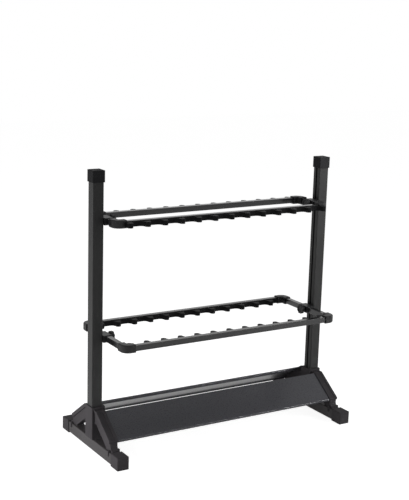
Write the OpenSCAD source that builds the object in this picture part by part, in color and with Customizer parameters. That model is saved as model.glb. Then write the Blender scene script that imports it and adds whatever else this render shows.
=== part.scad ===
// Free-standing rack: two posts on feet, and two tiers that slide on them, each with two rows of notches.
// X runs along the rack, the front is -Y, Z is up, and the floor is at Z = 0.

/* [Posts] */
// Distance between the centre lines of the two posts
post_spacing = 572; // [500:1:680]
// Overall height, from the floor to the top of the post caps
rack_h = 604.3; // [580:0.1:680]
// Width of the square tube that the posts and the feet are cut from
tube = 24; // [22:0.5:26]
// Wall thickness of that tube
tube_wall = 1.5; // [1.2:0.1:2]
// Outer corner radius of that tube
tube_corner = 1.5; // [0.8:0.1:2]
// Width of the slot that runs down the inner face of each post
slot_w = 5; // [4.8:0.1:6]
// Thickness of the two lips beside the slot
lip_t = 2; // [1.5:0.1:2.4]
// Width of the channel behind the slot
channel_w = 12; // [10:0.1:13]
// Depth of the channel behind the lips
channel_d = 5.5; // [5:0.1:5.9]
// Thickness of the ribs inside the post
rib_t = 1.4; // [1:0.1:1.8]
// Outer radius of the screw port on the post's centre line
port_r = 4.4; // [3.8:0.1:4.5]

/* [Post caps] */
// Height of a post cap
post_cap_h = 25; // [18:0.5:32]
// Side wall of a post cap
post_cap_wall = 1.8; // [1.2:0.1:2.5]
// Thickness of a post cap's top
post_cap_top = 2.5; // [2:0.1:4]
// Edge radius of a post cap
post_cap_edge = 1.6; // [0.5:0.1:2]

/* [Feet] */
// Height of the foot tube above the floor, which is the cap's floor thickness
foot_lift = 2.5; // [2.5:0.1:4]
// Length of the whole foot, front to rear, over its caps
foot_length = 272.8; // [262:0.1:300]
// Length of a foot cap
foot_cap_len = 31; // [24:0.5:32]
// Side wall of a foot cap
foot_cap_wall = 1.5; // [1.2:0.1:2]
// Thickness of a foot cap above the tube
foot_cap_over = 2.4; // [1.5:0.1:3]
// Thickness of a foot cap's closed end
foot_cap_end = 3; // [2:0.1:4]
// Edge radius of a foot cap
foot_cap_edge = 2.4; // [1:0.1:2.5]

/* [Base brackets] */
// Height of the top of the bracket's socket above the floor
socket_top = 98; // [95:0.1:100]
// Socket wall beside the post, on its outer and inner sides
socket_wall_x = 1.9; // [1.5:0.1:3]
// Socket wall in front of and behind the post
socket_wall_y = 4.9; // [4:0.1:6]
// Height of the collar round the top of the socket
collar_h = 11; // [8:0.1:14]
// Distance that the collar stands past the socket on its inner side
collar_past = 2.6; // [1:0.1:3]
// Thickness of the bracket's floor under the post
socket_floor = 6; // [4:0.1:8]
// Width of the flange along the top of each brace
flange_w = 21; // [18:0.1:23]
// Thickness of that flange, square to its slope
flange_t = 8; // [7:0.1:9]
// Radius of the flange's two corners at the tip of a brace
flange_tip_r = 3; // [1:0.1:3.4]
// Depth of a whole brace, square to its slope
brace_t = 28.2; // [25:0.1:30]
// Height of the flat at the top of each brace, above the floor
brace_top = 93.5; // [93:0.1:95]
// Distance that the tip of a brace stands past its toe
brace_past = 2; // [1:0.1:5]
// Thickness of the web under the flange, and of the toe
web_w = 16.5; // [14:0.1:18]
// Distance that the web stands inward of the post's axis
web_in = 0.7; // [0:0.1:1]
// Distance from the toe's outer face to the foot cap
toe_gap = 13.4; // [12:0.1:15]
// Radius of the concave flare at the foot of the toe
toe_flare = 9; // [6:0.1:10]
// Thickness of the tab on the foot tube between toe and foot cap, and of the toe's foot
tab_t = 3; // [2.4:0.1:4]
// Radius where the leg flares on to the foot tube, inside the opening
leg_flare = 10; // [6:0.1:11]
// Radius of the opening's upper corner
opening_top_r = 5; // [2:0.1:6]
// Radius of the opening's corner behind the toe
opening_toe_r = 3; // [2:0.1:4]
// Height of the hooks that grip the sides of the foot tube
hook_drop = 8.5; // [6:0.1:12]
// Thickness of those hooks
hook_t = 1.5; // [1.2:0.1:2]
// Width of those hooks, along the tube
hook_w = 5; // [4:0.1:7]
// Distance from the toe's outer face in to the inner edge of its hooks
hook_in = 3; // [1:0.1:5]
// Width of the recess along the top of each flange
recess_w = 9; // [6:0.1:12]
// Depth of that recess
recess_d = 1; // [0.6:0.1:1.4]

/* [Plates] */
// Slope of the two plates and of the braces
plate_angle = 35; // [33:0.1:36]
// Distance from the middle of the rack to the upper edge of a plate
plate_top_y = 25.8; // [25:0.1:29]
// Height of that edge above the floor
plate_top_z = 93.6; // [92:0.1:95]
// Distance from the toe's outer face in to the lower edge of a plate
plate_in = 0.9; // [0.5:0.1:4]
// Sheet thickness
plate_t = 1.5; // [1:0.1:2]
// Radius of the bends, outside
bend_r = 2.2; // [2.1:0.1:3]
// Height of the flange that hangs from the upper edge
top_flange_h = 8.8; // [6:0.1:11]
// Height of the lip that hangs from the lower edge
low_lip_h = 4.5; // [3.2:0.1:6]
// Height of the brace's rim over the plate, square to the slope
rim_step = 2; // [1.3:0.1:2.4]
// Depth of the groove that takes the end of a plate
groove_d = 5; // [3:0.1:6]

/* [Tiers] */
// Height of the top of the upper rails above the floor
upper_rail_top = 504; // [440:0.1:540]
// Height of the top of the lower rails above the floor
lower_rail_top = 252.4; // [230:0.1:300]
// Distance from the middle of the rack to the outer face of an upper rail
upper_rail_y = 54.4; // [53:0.1:62]
// Distance from the middle of the rack to the outer face of a lower rail
lower_rail_y = 101.5; // [96:0.1:108]
// Thickness of a rail or end bar
bar_t = 12; // [11:0.1:13]
// Height of a rail or end bar
bar_h = 12.4; // [11.5:0.1:14]
// Wall thickness of a rail or end bar
bar_wall = 1.4; // [1.1:0.1:1.8]
// Edge radius of a rail or end bar
bar_edge = 0.8; // [0.3:0.1:1]
// Gap between a post's inner face and the end bar
bar_standoff = 5.5; // [5:0.1:8]
// Width of the groove down the rail's notched side
rail_groove_w = 4; // [3:0.1:5]
// Depth of that groove
rail_groove_d = 1.5; // [1:0.1:2]

/* [Elbows] */
// Wall of an elbow round the bar
sleeve_wall = 2.5; // [2:0.1:3]
// Inner radius of the corner
elbow_in_r = 1; // [0.5:0.1:4]
// Length of the straight part of each arm
arm_straight = 10; // [9:0.1:14]
// Edge radius of the elbow's section
elbow_edge = 3; // [1:0.1:4]
// Length of bar inside each arm
bar_insert = 7; // [5:0.1:8]

/* [Notched strips] */
// Number of notches on each side of the rack
notches = 12; // [6:1:13]
// Thickness of the strip behind the notches
strip_base = 2; // [1.5:0.1:3]
// Height of the strip
strip_h = 10.4; // [9:0.1:12]
// Distance from the top of the rail down to the top of the strip
strip_drop = 2; // [0.5:0.1:2.5]
// Length of a prong, from the strip's face to its tip
prong_reach = 15.6; // [13:0.1:20]
// Radius of a prong's round tip
prong_tip_r = 6; // [5:0.1:7]
// Radius of a notch's two corners, as a share of the largest that fits
notch_round = 0.95; // [0.6:0.01:0.98]
// Distance that the middle of the last prong lies beyond the elbow's arm, before the shifts below
end_prong_past = 1.2; // [0.5:0.1:2]
// Shift of the prongs of the lower front strip to the right
lower_front_shift = -1.4; // [-3:0.1:3]
// Shift of the prongs of the lower rear strip to the right
lower_rear_shift = 11.7; // [8:0.1:13]
// Shift of the prongs of the upper front strip to the right
upper_front_shift = 3.7; // [-4:0.1:4]
// Shift of the prongs of the upper rear strip to the right
upper_rear_shift = -2.6; // [-4:0.1:4]

/* [Clamps] */
// Width of a connector, front to rear
connector_w = 34; // [28:0.5:38]
// Wall of a connector round the end bar
connector_wrap = 1.5; // [1.2:0.1:2]
// Corner radius of a connector
connector_edge = 1.4; // [0.5:0.1:2]
// Length of the nut in the post's channel
nut_len = 16; // [12:0.5:24]
// Thickness of that nut
nut_t = 3.5; // [2.5:0.1:4]
// Radius of the stud that joins the knob to the nut
stud_r = 2; // [1.5:0.1:2.1]
// Radius of a knob
knob_r = 11; // [9:0.1:12]
// Thickness of a knob's grip
knob_t = 7; // [5:0.1:9]
// Length of the knob's neck
knob_neck = 3.2; // [2:0.1:5]
// Radius of the knob's neck
knob_neck_r = 5.5; // [4:0.1:6]
// Number of hollows round the knob's grip
knob_hollows = 8; // [6:1:12]
// Radius of those hollows
knob_hollow_r = 2.6; // [1.5:0.1:3]
// Radius of the dish in the knob's face
knob_dish_r = 7; // [4:0.1:7.5]
// Depth of that dish
knob_dish = 1; // [0.5:0.1:1.5]

/* [Fasteners] */
// Radius of the bolt that holds post, bracket and foot together
bolt_r = 2.5; // [2:0.1:3]
// Radius of that bolt's head
bolt_head_r = 5; // [4.5:0.1:6]
// Length of that bolt inside the post
bolt_grip = 25; // [15:1:40]
// Radius of the screws that hold a bracket's toes to the foot tube
screw_r = 1.7; // [1.5:0.1:2]
// Radius of those screws' heads
screw_head_r = 3.7; // [3.2:0.1:4]
// Length of those screws above the foot tube
screw_grip = 11; // [7:0.1:14]
// Height of the heads, which stay clear of the floor
head_h = 1.8; // [1.2:0.1:2]
// Distance from the toe's outer face in to its screw
screw_in = 10; // [7:0.1:12]

/* [Clearances] */
// Clearance of what is pushed together and stays
fit = 0.1; // [0.05:0.05:0.2]
// Clearance of what slides along the posts
slide_gap = 0.3; // [0.2:0.05:0.4]
// Clearance round a screw or stud that passes through a hole
hole_gap = 0.25; // [0.2:0.05:0.4]
// Clearance of a thread in its nut
thread_gap = 0.05; // [0.02:0.01:0.1]

/* [Hidden] */
$fn = 48;

// Colours
black_metal = [0.11, 0.11, 0.12];
grey_metal = [0.36, 0.36, 0.37];
plate_grey = [0.16, 0.17, 0.17];
black_plastic = [0.06, 0.06, 0.06];
steel = [0.55, 0.55, 0.57];

// Sides and tiers
LEFT = -1;
RIGHT = 1;
FRONT = -1;
REAR = 1;
LOWER = 0;
UPPER = 1;

// A cutter reaches this far past the face that it opens
past = 1;
// Radius of a polygon's corner that is buried or cut away
hidden_r = 0.1;

// Places along X, on the right-hand side
post_x = post_spacing / 2;
post_in = post_x - tube / 2;
bar_out_x = post_in - bar_standoff;
bar_in_x = bar_out_x - bar_t;
sleeve_t = bar_t + 2 * sleeve_wall;
elbow_r = sleeve_t + elbow_in_r;
arm_len = elbow_r + arm_straight;
elbow_x = bar_out_x + sleeve_wall;
arm_end_x = elbow_x - arm_len;
plate_end_x = post_x - flange_w / 2 + groove_d - fit;

// Places along Y, at the rear
foot_end = foot_length / 2;
foot_tube_end = foot_end - foot_cap_end - fit;
foot_cap_in = foot_end - foot_cap_len;
toe_y = foot_cap_in - toe_gap;
brace_end = toe_y + brace_past;
plate_low_y = toe_y - plate_in;
tongue_y = [plate_top_y + bend_r, plate_low_y - bend_r];
screw_y = toe_y - screw_in;

// Places along Z
foot_top = foot_lift + tube;
post_bottom = foot_top + socket_floor;
post_top = rack_h - post_cap_top;
foot_cap_h = foot_top + fit + foot_cap_over;

// Sections
leg_w = tube + 2 * (socket_wall_x + fit);
leg_d = tube + 2 * (socket_wall_y + fit);
sleeve_h = bar_h + 2 * sleeve_wall;
post_cap_w = tube + 2 * (post_cap_wall + fit);
foot_cap_w = tube + 2 * (foot_cap_wall + fit);
port_bore_r = bolt_r + thread_gap;

// Notches: the last prong stands beside the elbow's arm and the rest share the space between
end_prong_x = arm_end_x + end_prong_past;
notch_pitch = 2 * end_prong_x / notches;
notch_r = notch_pitch / 2 - prong_tip_r;
comb_half = arm_end_x - fit;
prong_line = strip_base + prong_reach - prong_tip_r;
notch_depth = prong_line - strip_base;
notch_corner_r = notch_round * min(notch_r, notch_depth);

// Clamps
connector_in_x = bar_in_x - connector_wrap;
connector_h = bar_h + 2 * connector_wrap;
nut_x = post_in + lip_t + slide_gap;
stud_end_x = post_in + lip_t + channel_d - slide_gap;
knob_seat_x = connector_in_x - slide_gap;
knob_face_x = knob_seat_x - knob_neck - knob_t;

function rail_y(tier) = tier == UPPER ? upper_rail_y : lower_rail_y;
function rail_top(tier) = tier == UPPER ? upper_rail_top : lower_rail_top;
function bar_mid(tier) = rail_top(tier) - bar_h / 2;
function strip_shift(tier, face) = tier == UPPER
    ? (face == FRONT ? upper_front_shift : upper_rear_shift)
    : (face == FRONT ? lower_front_shift : lower_rear_shift);
// Height of a plate's upper face at a distance y from the middle of the rack
function plate_z(y) = plate_top_z - (y - plate_top_y) * tan(plate_angle);
// Height of the line that lies a depth below the top of a brace, square to its slope
function brace_z(y, depth) = plate_z(y) + (rim_step - depth) / cos(plate_angle);
// Distance from the middle at which that line comes down to height z
function brace_y(z, depth) = plate_top_y + (brace_z(plate_top_y, depth) - z) / tan(plate_angle);

function unit(v) = v / norm(v);
// Centre of the arc that rounds corner b of a polygon, between its neighbours a and c
function arc_centre(a, b, c, r) =
    let (u = unit(a - b), v = unit(c - b), m = unit(u + v))
    b + m * r / sqrt(1 - pow(m * u, 2));
// Ends of that arc, on the edges b-a and b-c
function arc_end(b, towards, centre) =
    let (u = unit(towards - b))
    b + u * ((centre - b) * u);

// Draws its children, which stand on the right-hand side, on the given side
module on_side(side) {
    mirror([side == LEFT ? 1 : 0, 0, 0]) children();
}

// Draws its children, which stand at the rear, at the given face
module on_face(face) {
    mirror([0, face == FRONT ? 1 : 0, 0]) children();
}

// Extrudes an outline of (y, z) along X, centred
module across(width) {
    rotate([90, 0, 90]) linear_extrude(width, center = true) children();
}

// Rod along X from x0 to x1
module rod_x(x0, x1, r) {
    translate([x0, 0, 0]) rotate([0, 90, 0]) cylinder(r = r, h = x1 - x0);
}

module rounded_rect(w, h, r) {
    square([w - 2 * r, h], center = true);
    square([w, h - 2 * r], center = true);
    for (x = [-1, 1], y = [-1, 1]) {
        translate([x * (w / 2 - r), y * (h / 2 - r)]) circle(r = r);
    }
}

// Convex polygon with one radius for each corner
module rounded_polygon(points, radii) {
    n = len(points);
    centres = [for (i = [0:n - 1])
        arc_centre(points[(i + n - 1) % n], points[i], points[(i + 1) % n], radii[i])];
    polygon([for (i = [0:n - 1], step = [n - 1, 1])
        arc_end(points[i], points[(i + step) % n], centres[i])]);
    for (i = [0:n - 1]) {
        translate(centres[i]) circle(r = radii[i]);
    }
}

// Block with its base at z = 0 and every edge rounded
module soft_box(x, y, z, r) {
    intersection() {
        linear_extrude(z) rounded_rect(x, y, r);
        translate([0, 0, z / 2]) rotate([90, 0, 0])
            linear_extrude(y + past, center = true) rounded_rect(x, z, r);
        translate([0, 0, z / 2]) across(x + past) rounded_rect(y, z, r);
    }
}

// Section of a post, with the slot on its -X face
module post_section() {
    difference() {
        union() {
            difference() {
                rounded_rect(tube, tube, tube_corner);
                square(tube - 2 * tube_wall, center = true);
            }
            translate([-tube / 2, -channel_w / 2 - rib_t])
                square([lip_t + channel_d + rib_t, channel_w + 2 * rib_t]);
            circle(r = port_r);
            square([rib_t, tube - tube_wall], center = true);
            translate([0, -rib_t / 2]) square([(tube - tube_wall) / 2, rib_t]);
        }
        translate([lip_t - tube / 2, -channel_w / 2]) square([channel_d, channel_w]);
        translate([-tube / 2 - past, -slot_w / 2]) square([lip_t + 2 * past, slot_w]);
        circle(r = port_bore_r);
    }
}

module post(side) {
    color(black_metal) on_side(side)
        translate([post_x, 0, post_bottom]) linear_extrude(post_top - post_bottom) post_section();
}

module post_cap(side) {
    color(black_plastic) on_side(side) translate([post_x, 0, rack_h - post_cap_h]) difference() {
        translate([0, 0, -post_cap_edge])
            soft_box(post_cap_w, post_cap_w, post_cap_h + post_cap_edge, post_cap_edge);
        translate([0, 0, -post_cap_edge - past]) linear_extrude(post_cap_edge + past)
            square(post_cap_w + past, center = true);
        translate([0, 0, -past]) linear_extrude(post_cap_h - post_cap_top + past)
            square(tube + 2 * fit, center = true);
    }
}

module foot_tube(side) {
    color(grey_metal) on_side(side) translate([post_x, 0, foot_lift]) difference() {
        translate([0, 0, tube / 2]) rotate([90, 0, 0])
            linear_extrude(2 * foot_tube_end, center = true) difference() {
                rounded_rect(tube, tube, tube_corner);
                square(tube - 2 * tube_wall, center = true);
            }
        translate([0, 0, -past]) cylinder(r = bolt_r + hole_gap, h = tube + 2 * past);
        for (y = [-screw_y, screw_y]) {
            translate([0, y, -past]) cylinder(r = screw_r + hole_gap, h = tube + 2 * past);
        }
    }
}

module foot_cap(side, face) {
    color(black_plastic) on_side(side) on_face(face) translate([post_x, 0, 0]) difference() {
        translate([0, foot_end - (foot_cap_len + foot_cap_edge) / 2, 0])
            soft_box(foot_cap_w, foot_cap_len + foot_cap_edge, foot_cap_h, foot_cap_edge);
        translate([-foot_cap_w, foot_cap_in - foot_cap_edge - past, -past])
            cube([2 * foot_cap_w, foot_cap_edge + past, foot_cap_h + 2 * past]);
        translate([-tube / 2 - fit, foot_cap_in - past, foot_lift])
            cube([tube + 2 * fit, foot_cap_len - foot_cap_end + past, tube + fit]);
    }
}

// Brace, toe and tab behind the leg, less the opening that reaches down to the foot tube, in (y, z)
module web_outline() {
    difference() {
        union() {
            polygon([
                [0, foot_top], [toe_y, foot_top],
                [toe_y, brace_z(toe_y, flange_t / 2)],
                [brace_y(brace_top, flange_t / 2), brace_top], [0, brace_top]
            ]);
            difference() {
                translate([toe_y - past, foot_top])
                    square([toe_flare + past, tab_t + toe_flare]);
                translate([toe_y + toe_flare, foot_top + tab_t + toe_flare]) circle(r = toe_flare);
            }
            translate([toe_y, foot_top]) square([foot_cap_in - fit - toe_y, tab_t / 2]);
        }
        rounded_polygon(
            [[leg_d / 2, foot_top - past], [brace_y(foot_top - past, brace_t), foot_top - past],
             [leg_d / 2, brace_z(leg_d / 2, brace_t)]],
            [leg_flare, opening_toe_r, opening_top_r]);
    }
}

// Flange along the top of a brace, in (y, z)
module flange_outline() {
    tip = [brace_end, brace_z(brace_end, 0)];
    under = tip - flange_t * [sin(plate_angle), cos(plate_angle)];
    rounded_polygon(
        [[0, brace_z(0, 0)], tip, under, [0, brace_z(0, flange_t)]],
        [hidden_r, flange_tip_r, flange_tip_r, hidden_r]);
}

// Strip between two depths below the top of a brace, from y0 to y1, in (y, z)
module brace_band(y0, y1, depth0, depth1) {
    polygon([
        [y0, brace_z(y0, depth0)], [y1, brace_z(y1, depth0)],
        [y1, brace_z(y1, depth1)], [y0, brace_z(y0, depth1)]
    ]);
}

// One brace with its toe and hooks, at the rear of the right-hand post's axis
module brace() {
    difference() {
        union() {
            translate([-web_in, 0, 0]) across(web_w) web_outline();
            across(flange_w) difference() {
                flange_outline();
                translate([-past, brace_top]) square([brace_end, brace_end]);
            }
            translate([-tube / 2 - fit - hook_t, toe_y - hook_in, foot_top - hook_drop])
                cube([tube + 2 * (fit + hook_t), hook_w, hook_drop + tab_t]);
        }
        translate([-tube / 2 - fit, 0, 0]) cube([tube + 2 * fit, foot_end, foot_top]);
        across(recess_w) brace_band(plate_top_y, toe_y, -past, recess_d);
        translate([(groove_d - past - flange_w) / 2, 0, 0]) across(groove_d + past)
            brace_band(tongue_y[0] - fit, tongue_y[1] + fit, rim_step - fit, rim_step + plate_t + fit);
        translate([0, screw_y, 0]) cylinder(r = screw_r + thread_gap, h = foot_top + screw_grip + fit);
    }
}

module base_bracket(side) {
    color(black_plastic) on_side(side) translate([post_x, 0, 0]) difference() {
        union() {
            translate([0, 0, foot_top]) linear_extrude(socket_top - foot_top)
                rounded_rect(leg_w, leg_d, tube_corner);
            translate([-collar_past / 2, 0, socket_top - collar_h]) linear_extrude(collar_h)
                rounded_rect(leg_w + collar_past, leg_d, tube_corner);
            for (face = [FRONT, REAR]) {
                on_face(face) brace();
            }
        }
        translate([0, 0, post_bottom]) linear_extrude(socket_top)
            square(tube + 2 * fit, center = true);
        cylinder(r = bolt_r + hole_gap, h = socket_top);
    }
}

// Outer boundary of a bent plate at an inset of d from its outer face, in (y, z)
module plate_bulk(d) {
    in_y = plate_top_y + d;
    out_y = plate_low_y - d;
    drop = d / cos(plate_angle);
    rounded_polygon(
        [[in_y, 0], [out_y, 0], [out_y, plate_z(out_y) - drop], [in_y, plate_z(in_y) - drop]],
        [hidden_r, hidden_r, bend_r - d, bend_r - d]);
}

module plate(face) {
    mid_y = (plate_top_y + plate_low_y) / 2;
    color(plate_grey) on_face(face) {
        across(2 * (post_x - flange_w / 2 - fit)) difference() {
            plate_bulk(0);
            plate_bulk(plate_t);
            polygon([
                [0, plate_top_z - top_flange_h], [mid_y, plate_top_z - top_flange_h],
                [mid_y, plate_z(plate_low_y) - low_lip_h], [brace_end, plate_z(plate_low_y) - low_lip_h],
                [brace_end, -past], [0, -past]
            ]);
        }
        across(2 * plate_end_x) brace_band(tongue_y[0], tongue_y[1], rim_step, rim_step + plate_t);
    }
}

module foot_bolts() {
    color(steel) for (side = [LEFT, RIGHT]) {
        on_side(side) translate([post_x, 0, foot_lift - head_h]) {
            cylinder(r = bolt_head_r, h = head_h);
            cylinder(r = bolt_r, h = head_h + post_bottom - foot_lift + bolt_grip);
        }
    }
}

module toe_screws() {
    color(steel) for (side = [LEFT, RIGHT], y = [-screw_y, screw_y]) {
        on_side(side) translate([post_x, y, foot_lift - head_h]) {
            cylinder(r = screw_head_r, h = head_h);
            cylinder(r = screw_r, h = head_h + tube + screw_grip);
        }
    }
}

// Hollow section of a bar, centred
module bar_section() {
    difference() {
        rounded_rect(bar_t, bar_h, bar_edge);
        square([bar_t - 2 * bar_wall, bar_h - 2 * bar_wall], center = true);
    }
}

// The same section with the groove in its +Y side, which the strip's tongue fills
module rail_section() {
    groove_y = bar_t / 2 - rail_groove_d;
    difference() {
        union() {
            bar_section();
            translate([groove_y - bar_wall, -rail_groove_w / 2 - bar_wall])
                square([rail_groove_d + bar_wall - bar_edge, rail_groove_w + 2 * bar_wall]);
        }
        translate([groove_y, -rail_groove_w / 2]) square([rail_groove_d + past, rail_groove_w]);
    }
}

module rail(tier, face) {
    color(black_metal) on_face(face) translate([0, rail_y(tier) - bar_t / 2, bar_mid(tier)])
        mirror([0, tier == UPPER ? 0 : 1, 0]) across(2 * (arm_end_x + bar_insert)) rail_section();
}

module end_bar(tier, side) {
    half = rail_y(tier) + sleeve_wall - arm_len + bar_insert;
    color(black_metal) on_side(side) translate([bar_in_x, 0, bar_mid(tier)]) difference() {
        translate([bar_t / 2, 0, 0]) rotate([90, 0, 0])
            linear_extrude(2 * half, center = true) bar_section();
        rod_x(-past, bar_t + past, stud_r + hole_gap);
    }
}

module elbow(tier, side, face) {
    out_y = rail_y(tier) + sleeve_wall;
    centre_r = elbow_r - sleeve_t / 2;
    color(black_plastic) on_side(side) on_face(face)
        translate([elbow_x - elbow_r, out_y - elbow_r, bar_mid(tier)]) difference() {
            union() {
                rotate_extrude(angle = 90) translate([centre_r, 0])
                    rounded_rect(sleeve_t, sleeve_h, elbow_edge);
                translate([-arm_straight / 2, centre_r, 0]) across(arm_straight)
                    rounded_rect(sleeve_t, sleeve_h, elbow_edge);
                translate([centre_r, -arm_straight / 2, 0]) rotate([90, 0, 0])
                    linear_extrude(arm_straight, center = true) rounded_rect(sleeve_t, sleeve_h, elbow_edge);
            }
            translate([-arm_straight - past, centre_r - bar_t / 2 - fit, -bar_h / 2 - fit])
                cube([past + bar_insert + fit, bar_t + 2 * fit, bar_h + 2 * fit]);
            translate([centre_r - bar_t / 2 - fit, -arm_straight - past, -bar_h / 2 - fit])
                cube([bar_t + 2 * fit, past + bar_insert + fit, bar_h + 2 * fit]);
        }
}

// Row of prongs seen from above, which stands on y = strip_base
module prong_row() {
    difference() {
        translate([-end_prong_x - prong_tip_r, strip_base])
            square([2 * (end_prong_x + prong_tip_r), notch_depth]);
        for (i = [0:notches - 1]) {
            translate([-end_prong_x + (i + 0.5) * notch_pitch, prong_line])
                rounded_rect(2 * notch_r, 2 * notch_depth, notch_corner_r);
        }
    }
    for (i = [0:notches]) {
        translate([-end_prong_x + i * notch_pitch, prong_line]) circle(r = prong_tip_r);
    }
}

// Notched strip seen from above, with its back on y = 0 and its prongs towards +Y.
// A row that is shifted by more than a prong's radius is cut off level with the strip's ends.
module comb_outline(shift) {
    limit = abs(shift) > prong_tip_r ? comb_half : end_prong_x + prong_tip_r + abs(shift);
    difference() {
        union() {
            translate([-comb_half, 0]) square([2 * comb_half, strip_base]);
            intersection() {
                translate([shift, 0]) prong_row();
                translate([-limit, 0]) square([2 * limit, strip_base + prong_reach]);
            }
        }
        for (end = [-1, 1]) {
            translate([end * (comb_half + prong_tip_r), 0])
                square([2 * prong_tip_r, 2 * (sleeve_wall + past)], center = true);
        }
    }
}

module notch_strip(tier, face) {
    back = tier == UPPER ? rail_y(tier) : rail_y(tier) - bar_t;
    tongue_z = strip_drop + strip_h - (bar_h + rail_groove_w) / 2 + fit;
    color(black_plastic) on_face(face) translate([0, back, rail_top(tier) - strip_drop - strip_h])
        mirror([0, tier == UPPER ? 0 : 1, 0]) {
            linear_extrude(strip_h) comb_outline(strip_shift(tier, face));
            translate([-comb_half, fit - rail_groove_d, tongue_z])
                cube([2 * comb_half, rail_groove_d, rail_groove_w - 2 * fit]);
        }
}

module connector(tier, side) {
    length = post_in - slide_gap - connector_in_x;
    color(black_plastic) on_side(side) translate([0, 0, bar_mid(tier)]) difference() {
        union() {
            translate([connector_in_x + length / 2, 0, 0]) across(length)
                rounded_rect(connector_w, connector_h, connector_edge);
            // Key that runs in the post's slot
            translate([post_in - past, slide_gap - slot_w / 2, -connector_h / 2])
                cube([past + lip_t - slide_gap, slot_w - 2 * slide_gap, connector_h]);
        }
        translate([bar_in_x - fit, -connector_w, -bar_h / 2 - fit])
            cube([bar_t + 2 * fit, 2 * connector_w, bar_h + 2 * fit]);
        rod_x(connector_in_x - past, post_x, stud_r + hole_gap);
    }
}

module slot_nut(tier, side) {
    nut_w = channel_w - 2 * slide_gap;
    color(steel) on_side(side) translate([nut_x, 0, bar_mid(tier)]) difference() {
        translate([0, -nut_w / 2, -nut_len / 2]) cube([nut_t, nut_w, nut_len]);
        rod_x(-past, nut_t + past, stud_r + thread_gap);
    }
}

module knob(tier, side) {
    color(black_plastic) on_side(side) translate([knob_face_x, 0, bar_mid(tier)]) difference() {
        union() {
            rod_x(0, knob_t, knob_r);
            rod_x(knob_t, knob_t + knob_neck, knob_neck_r);
        }
        for (i = [0:knob_hollows - 1]) {
            rotate([i * 360 / knob_hollows, 0, 0]) translate([0, 0, knob_r + knob_hollow_r / 2])
                rod_x(-past, knob_t + past, knob_hollow_r);
        }
        rod_x(-past, knob_dish, knob_dish_r);
        rod_x(knob_t / 2, knob_t + knob_neck + past, stud_r);
    }
}

module stud(tier, side) {
    color(steel) on_side(side) translate([0, 0, bar_mid(tier)])
        rod_x(knob_face_x + knob_t / 2, stud_end_x, stud_r);
}

post(LEFT);  // post_left
post(RIGHT);  // post_right
post_cap(LEFT);  // post_cap_left
post_cap(RIGHT);  // post_cap_right
foot_tube(LEFT);  // foot_tube_left
foot_tube(RIGHT);  // foot_tube_right
foot_cap(LEFT, FRONT);  // foot_cap_front_left
foot_cap(RIGHT, FRONT);  // foot_cap_front_right
foot_cap(LEFT, REAR);  // foot_cap_rear_left
foot_cap(RIGHT, REAR);  // foot_cap_rear_right
base_bracket(LEFT);  // base_bracket_left
base_bracket(RIGHT);  // base_bracket_right
plate(FRONT);  // front_plate
plate(REAR);  // rear_plate
foot_bolts();
toe_screws();

rail(LOWER, FRONT);  // lower_front_rail
rail(LOWER, REAR);  // lower_rear_rail
notch_strip(LOWER, FRONT);  // lower_front_strip
notch_strip(LOWER, REAR);  // lower_rear_strip
end_bar(LOWER, LEFT);  // lower_end_bar_left
end_bar(LOWER, RIGHT);  // lower_end_bar_right
elbow(LOWER, LEFT, FRONT);  // lower_elbow_front_left
elbow(LOWER, RIGHT, FRONT);  // lower_elbow_front_right
elbow(LOWER, LEFT, REAR);  // lower_elbow_rear_left
elbow(LOWER, RIGHT, REAR);  // lower_elbow_rear_right
connector(LOWER, LEFT);  // lower_connector_left
connector(LOWER, RIGHT);  // lower_connector_right
slot_nut(LOWER, LEFT);  // lower_slot_nut_left
slot_nut(LOWER, RIGHT);  // lower_slot_nut_right
knob(LOWER, LEFT);  // lower_knob_left
knob(LOWER, RIGHT);  // lower_knob_right
stud(LOWER, LEFT);  // lower_stud_left
stud(LOWER, RIGHT);  // lower_stud_right

rail(UPPER, FRONT);  // upper_front_rail
rail(UPPER, REAR);  // upper_rear_rail
notch_strip(UPPER, FRONT);  // upper_front_strip
notch_strip(UPPER, REAR);  // upper_rear_strip
end_bar(UPPER, LEFT);  // upper_end_bar_left
end_bar(UPPER, RIGHT);  // upper_end_bar_right
elbow(UPPER, LEFT, FRONT);  // upper_elbow_front_left
elbow(UPPER, RIGHT, FRONT);  // upper_elbow_front_right
elbow(UPPER, LEFT, REAR);  // upper_elbow_rear_left
elbow(UPPER, RIGHT, REAR);  // upper_elbow_rear_right
connector(UPPER, LEFT);  // upper_connector_left
connector(UPPER, RIGHT);  // upper_connector_right
slot_nut(UPPER, LEFT);  // upper_slot_nut_left
slot_nut(UPPER, RIGHT);  // upper_slot_nut_right
knob(UPPER, LEFT);  // upper_knob_left
knob(UPPER, RIGHT);  // upper_knob_right
stud(UPPER, LEFT);  // upper_stud_left
stud(UPPER, RIGHT);  // upper_stud_right
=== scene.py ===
"""Looks of the rod rack: materials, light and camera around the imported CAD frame, in metres."""

import math

import bpy
from mathutils import Matrix, Vector

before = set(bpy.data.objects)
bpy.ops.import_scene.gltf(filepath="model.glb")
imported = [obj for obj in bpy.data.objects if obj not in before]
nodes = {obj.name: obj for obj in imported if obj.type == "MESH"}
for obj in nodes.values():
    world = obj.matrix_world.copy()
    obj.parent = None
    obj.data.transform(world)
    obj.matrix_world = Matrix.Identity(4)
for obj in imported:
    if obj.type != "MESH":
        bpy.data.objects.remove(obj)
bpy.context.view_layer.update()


def srgb(*channels):
    """Linear colour with full alpha, from three sRGB channels of 0 to 255."""
    linear = (v / 12.92 if v <= 0.04045 else ((v + 0.055) / 1.055) ** 2.4
              for v in (channel / 255 for channel in channels))
    return (*linear, 1.0)


def scaled(colour, factor):
    """A colour times a factor, with its alpha kept."""
    return (*(channel * factor for channel in colour[:3]), colour[3])


# Node trees

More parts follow.
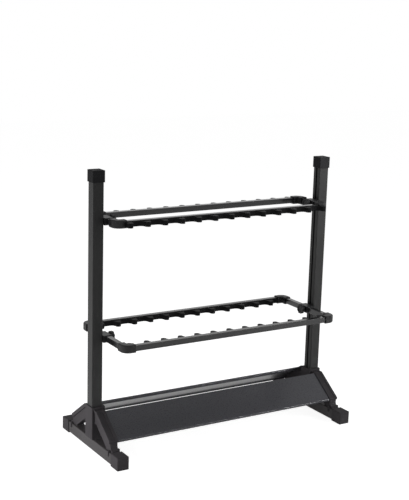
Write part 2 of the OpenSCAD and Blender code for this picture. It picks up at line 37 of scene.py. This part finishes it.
def add_node(tree, kind, inputs=None, **settings):
    """Adds a node; each of its inputs is given as a value or as the socket that feeds it."""
    made = tree.nodes.new(kind)
    for key, value in settings.items():
        setattr(made, key, value)
    for key, value in (inputs or {}).items():
        fill(tree, made.inputs[key], value)
    return made


def fill(tree, socket, value):
    if isinstance(value, bpy.types.NodeSocket):
        tree.links.new(value, socket)
    else:
        socket.default_value = value


def seen_directly(tree):
    """1 for rays from the camera, in reflections and through glass, and 0 for all others."""
    path = add_node(tree, "ShaderNodeLightPath").outputs
    seen = path["Is Camera Ray"]
    for ray in ("Is Glossy Ray", "Is Transmission Ray"):
        seen = add_node(tree, "ShaderNodeMath", {0: seen, 1: path[ray]},
                        operation="MAXIMUM").outputs[0]
    return seen


class Shader:
    """A small helper that makes nodes and links in one material."""

    def __init__(self, name):
        self.material = bpy.data.materials.new(name)
        self.material.use_nodes = True
        self.tree = self.material.node_tree
        self.coords = self.node("ShaderNodeTexCoord").outputs["Object"]

    def node(self, kind, inputs=None, **settings):
        return add_node(self.tree, kind, inputs, **settings)

    def stretched(self, scale):
        """Object coordinates multiplied along each axis."""
        mapping = self.node("ShaderNodeMapping", {"Vector": self.coords, "Scale": scale})
        return mapping.outputs["Vector"]

    def noise(self, vector, scale, detail):
        texture = self.node("ShaderNodeTexNoise",
                            {"Vector": vector, "Scale": scale, "Detail": detail})
        return texture.outputs["Fac"]

    def span(self, value, low, high, value_low=0.3, value_high=0.7):
        """Maps a noise value on to low..high; most of a noise lies between 0.3 and 0.7."""
        span = self.node("ShaderNodeMapRange",
                         {"Value": value, "From Min": value_low, "From Max": value_high,
                          "To Min": low, "To Max": high})
        return span.outputs["Result"]

    def mixed(self, value, first, second):
        """Colour between first and second, by a value from 0 to 1."""
        mix = self.node("ShaderNodeMix", {"Factor": value, "A": first, "B": second},
                        data_type="RGBA")
        return mix.outputs["Result"]

    def shaded(self, value, colour, dark, light):
        """A colour times a factor between dark and light, by a value from 0 to 1."""
        return self.mixed(value, scaled(colour, dark), scaled(colour, light))

    def bump(self, height, distance, strength, **base):
        """Normal raised by a height; base can give the Normal that it starts from."""
        bump = self.node("ShaderNodeBump",
                         {"Height": height, "Distance": distance, "Strength": strength, **base})
        return bump.outputs["Normal"]

    def finish(self, **inputs):
        surface = self.tree.nodes["Principled BSDF"]
        for key, value in inputs.items():
            fill(self.tree, surface.inputs[key.replace("_", " ")], value)
        return self.material


# Materials

DRAWN_LINES_ACROSS = 900.0
DRAWN_LINES_ALONG = 3.0
MM_PER_M = 1000.0


def anodised(name, grey, along, roughness, level):
    """Satin anodised extrusion with faint drawing lines along one axis."""
    s = Shader(name)
    lines = [DRAWN_LINES_ACROSS] * 3
    lines["xyz".index(along)] = DRAWN_LINES_ALONG
    streak = s.noise(s.stretched(lines), scale=1.0, detail=3.0)
    cloud = s.noise(s.coords, scale=9.0, detail=3.0)
    grain = s.noise(s.coords, scale=2600.0, detail=1.0)
    fine = s.bump(grain, distance=0.00002, strength=0.35)
    return s.finish(
        Base_Color=s.shaded(s.span(cloud, 0.0, 1.0), grey, dark=0.88, light=1.12),
        Metallic=0.0,
        Specular_IOR_Level=level,
        Roughness=s.span(streak, roughness - 0.05, roughness + 0.05),
        Normal=s.bump(streak, distance=0.00003, strength=0.5, Normal=fine),
    )


def powder_coat(name, grey, roughness, level):
    """Fine matt powder coat: a low orange peel with a scatter of lighter specks."""
    s = Shader(name)
    peel = s.noise(s.coords, scale=620.0, detail=2.0)
    speck = s.noise(s.coords, scale=2400.0, detail=0.0)
    cloud = s.noise(s.coords, scale=5.0, detail=2.0)
    body = s.shaded(s.span(cloud, 0.15, 0.85), grey, dark=0.86, light=1.14)
    specks = s.span(speck, 0.0, 0.35, value_low=0.62, value_high=0.8)
    return s.finish(
        Base_Color=s.mixed(specks, body, scaled(grey, 2.2)),
        Metallic=0.0,
        Specular_IOR_Level=level,
        Roughness=s.span(peel, roughness - 0.05, roughness + 0.06),
        Normal=s.bump(peel, distance=0.00006, strength=0.45),
    )


def moulded(name, grey, roughness, level, grain_mm=0.7):
    """Moulded plastic with a spark-eroded grain of a size in millimetres."""
    s = Shader(name)
    grain = s.noise(s.coords, scale=MM_PER_M / grain_mm, detail=1.0)
    cloud = s.noise(s.coords, scale=14.0, detail=3.0)
    return s.finish(
        Base_Color=s.shaded(s.span(cloud, 0.0, 1.0), grey, dark=0.82, light=1.2),
        Metallic=0.0,
        Specular_IOR_Level=level,
        Roughness=s.span(cloud, roughness - 0.04, roughness + 0.05),
        Normal=s.bump(grain, distance=0.00005, strength=0.5),
    )


def zinc(name):
    """Zinc-plated steel with a cloudy, slightly yellow bloom."""
    s = Shader(name)
    cloud = s.noise(s.coords, scale=260.0, detail=3.0)
    return s.finish(
        Base_Color=s.mixed(s.span(cloud, 0.0, 1.0), srgb(150, 150, 148), srgb(190, 190, 186)),
        Metallic=1.0,
        Roughness=s.span(cloud, 0.25, 0.4),
    )


POST_GREY = srgb(38, 38, 38)
FOOT_GREY = srgb(59, 57, 58)
RAIL_GREY = srgb(18, 18, 19)
PLATE_GREY = srgb(54, 54, 58)
PLASTIC_GREY = srgb(56, 54, 56)
POST_CAP_GREY = srgb(30, 30, 31)
ELBOW_GREY = srgb(20, 20, 21)
STRIP_GREY = srgb(12, 12, 13)
KNOB_GREY = srgb(24, 24, 25)

elbow_plastic = moulded("elbow_plastic", ELBOW_GREY, roughness=0.45, level=0.25)

# The first part of a name that a CAD node's name holds gives its material
WORN_BY = [
    ("post_cap", moulded("post_cap_plastic", POST_CAP_GREY, roughness=0.6, level=0.05)),
    ("post_", anodised("post_anodised", POST_GREY, "z", roughness=0.45, level=0.15)),
    ("foot_tube", anodised("foot_anodised", FOOT_GREY, "y", roughness=0.5, level=0.1)),
    ("foot_cap", moulded("cap_plastic", PLASTIC_GREY, roughness=0.65, level=0.05)),
    ("base_bracket", moulded("bracket_plastic", PLASTIC_GREY, roughness=0.7, level=0.05)),
    ("_plate", powder_coat("sheet_powder_coat", PLATE_GREY, roughness=0.3, level=0.3)),
    ("_rail", anodised("rail_anodised", RAIL_GREY, "x", roughness=0.2, level=0.45)),
    ("_strip", moulded("strip_plastic", STRIP_GREY, roughness=0.55, level=0.07, grain_mm=0.5)),
    ("_end_bar", anodised("end_bar_anodised", RAIL_GREY, "y", roughness=0.2, level=0.45)),
    ("_elbow", elbow_plastic),
    ("_connector", elbow_plastic),
    ("_knob", moulded("knob_plastic", KNOB_GREY, roughness=0.5, level=0.2)),
    ("", zinc("zinc_steel")),
]

for name, node in nodes.items():
    node.data.materials.clear()
    node.data.materials.append(next(worn for part, worn in WORN_BY if part in name))


# Stage: a pale floor that fades into white, and plain soft light

WHITE = (1, 1, 1, 1)
AMBIENT = 0.22
FLOOR_HALF = 6.0
FLOOR_GLOW = 0.9
FLOOR_SHADE = srgb(175, 175, 175)
FLOOR_BOUNCE = srgb(240, 240, 240)


def floor_material():
    """Glows to the eye and in reflections, and is plain pale paint to all other light."""
    s = Shader("pale_floor")
    glow = s.node("ShaderNodeEmission", {"Color": WHITE, "Strength": FLOOR_GLOW})
    shade = s.node("ShaderNodeBsdfDiffuse", {"Color": FLOOR_SHADE})
    shown = s.node("ShaderNodeAddShader", {0: glow.outputs[0], 1: shade.outputs[0]})
    bounce = s.node("ShaderNodeBsdfDiffuse", {"Color": FLOOR_BOUNCE})
    mix = s.node("ShaderNodeMixShader",
                 {0: seen_directly(s.tree), 1: bounce.outputs[0], 2: shown.outputs[0]})
    s.tree.links.new(mix.outputs[0], s.tree.nodes["Material Output"].inputs["Surface"])
    return s.material


def make_floor():
    mesh = bpy.data.meshes.new("floor")
    h = FLOOR_HALF
    mesh.from_pydata([(-h, -h, 0), (h, -h, 0), (h, h, 0), (-h, h, 0)], [], [(0, 1, 2, 3)])
    floor = bpy.data.objects.new("floor", mesh)
    floor.data.materials.append(floor_material())
    bpy.context.scene.collection.objects.link(floor)


def make_world():
    """White to the eye and in reflections, and a lower plain level as light on the object."""
    world = bpy.data.worlds.new("studio")
    bpy.context.scene.world = world
    world.use_nodes = True
    tree = world.node_tree
    strength = add_node(tree, "ShaderNodeMapRange",
                        {"Value": seen_directly(tree), "To Min": AMBIENT, "To Max": 1.0})
    background = tree.nodes["Background"]
    background.inputs["Color"].default_value = WHITE
    tree.links.new(strength.outputs["Result"], background.inputs["Strength"])


def soft_box(name, position, target, width, height, watts,
             glossy=True, diffuse=True, spread=180):
    """Rectangular area lamp that faces a point.

    It can be kept out of glossy or diffuse light, and its beam narrowed to a spread in degrees.
    """
    lamp = bpy.data.lights.new(name, "AREA")
    lamp.shape = "RECTANGLE"
    lamp.size = width
    lamp.size_y = height
    lamp.energy = watts
    lamp.spread = math.radians(spread)
    holder = bpy.data.objects.new(name, lamp)
    holder.location = position
    facing = Vector(target) - Vector(position)
    holder.rotation_euler = facing.to_track_quat("-Z", "Y").to_euler()
    holder.visible_camera = False
    holder.visible_glossy = glossy
    holder.visible_diffuse = diffuse
    bpy.context.scene.collection.objects.link(holder)


make_floor()
make_world()
soft_box("left_box", position=(-0.85, -0.05, 0.15), target=(-0.286, -0.02, 0.08),
         width=0.5, height=0.3, watts=4.7, glossy=False)
soft_box("top_box", position=(-0.3, 0.3, 2.8), target=(0, 0, 0.3),
         width=2.2, height=1.6, watts=8)
soft_box("right_box", position=(0.95, -0.85, 0.5), target=(0.286, 0, 0.25),
         width=0.5, height=0.7, watts=9.3, glossy=False)
soft_box("post_box", position=(0.65, -0.6, 0.85), target=(0.286, 0, 0.58),
         width=0.15, height=0.3, watts=0.9, glossy=False, spread=50)
soft_box("sheen_box", position=(1.04, -1.38, 0.25), target=(0.12, -0.13, 0.045),
         width=0.9, height=0.2, watts=0.45, diffuse=False, spread=20)


# Camera: fitted to the edges of the object in the photograph, whose frame is 409 by 500 pixels

FRAME_LONG = 500
FOCAL_PX = 1126.24
AZIMUTH = math.radians(-31.501)
ELEVATION = math.radians(12.542)
ROLL = math.radians(1.639)
TARGET = Vector((-0.02213, 0.0, 0.41244))
DISTANCE = 2.4694
SENSOR_WIDTH = 36
CLIP_END = 50


def make_camera():
    back = Vector((math.sin(AZIMUTH) * math.cos(ELEVATION),
                   -math.cos(AZIMUTH) * math.cos(ELEVATION),
                   math.sin(ELEVATION)))
    level = Vector((math.cos(AZIMUTH), math.sin(AZIMUTH), 0))
    above = back.cross(level)
    right = level * math.cos(ROLL) + above * math.sin(ROLL)
    up = above * math.cos(ROLL) - level * math.sin(ROLL)
    eye = TARGET + back * DISTANCE
    camera = bpy.data.objects.new("camera", bpy.data.cameras.new("camera"))
    camera.data.sensor_width = SENSOR_WIDTH
    camera.data.lens = SENSOR_WIDTH * FOCAL_PX / FRAME_LONG
    camera.data.clip_end = CLIP_END
    camera.matrix_world = Matrix((
        (right.x, up.x, back.x, eye.x),
        (right.y, up.y, back.y, eye.y),
        (right.z, up.z, back.z, eye.z),
        (0, 0, 0, 1),
    ))
    bpy.context.scene.collection.objects.link(camera)
    bpy.context.scene.camera = camera


make_camera()
bpy.context.scene.view_settings.view_transform = "Standard"
